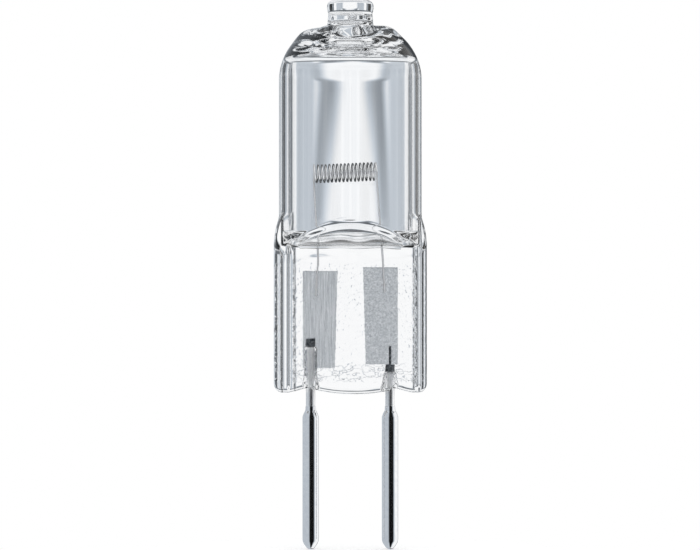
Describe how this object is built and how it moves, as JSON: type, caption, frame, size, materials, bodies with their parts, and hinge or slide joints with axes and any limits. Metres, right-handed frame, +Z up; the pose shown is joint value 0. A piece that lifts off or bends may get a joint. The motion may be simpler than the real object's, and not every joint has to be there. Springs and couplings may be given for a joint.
{
  "type": "halogen capsule bulb",
  "caption": "Clear quartz halogen capsule: domed tube with a level coiled filament, flat press seal with foils, and straight contact pins below.",
  "frame": {"origin": "on the bulb's axis, in the plane of the two pin tips", "axes": "+Z up the axis from the pin tips to the exhaust tip, +X through both pins to the right in the picture, +Y away from the viewer of the seal's flat front"},
  "size_m": [0.0122, 0.0114, 0.0441],
  "materials": {
    "quartz": "clear fused quartz, smooth on the tube, pressed orange-peel texture on the seal",
    "tungsten": "drawn tungsten wire, dull grey with small bright glints",
    "foil": "rolled molybdenum foil, satin, finely striated",
    "lead_wire": "drawn molybdenum rod, semi-bright",
    "pin_plating": "bright nickel plate"
  },
  "bodies": {
    "root": {"quartz_envelope": "quartz", "filament": "tungsten", "left_foil": "foil", "right_foil": "foil", "left_lead": "lead_wire", "right_lead": "lead_wire", "left_pin_sleeve": "pin_plating", "right_pin_sleeve": "pin_plating"}
  },
  "joints": []
}
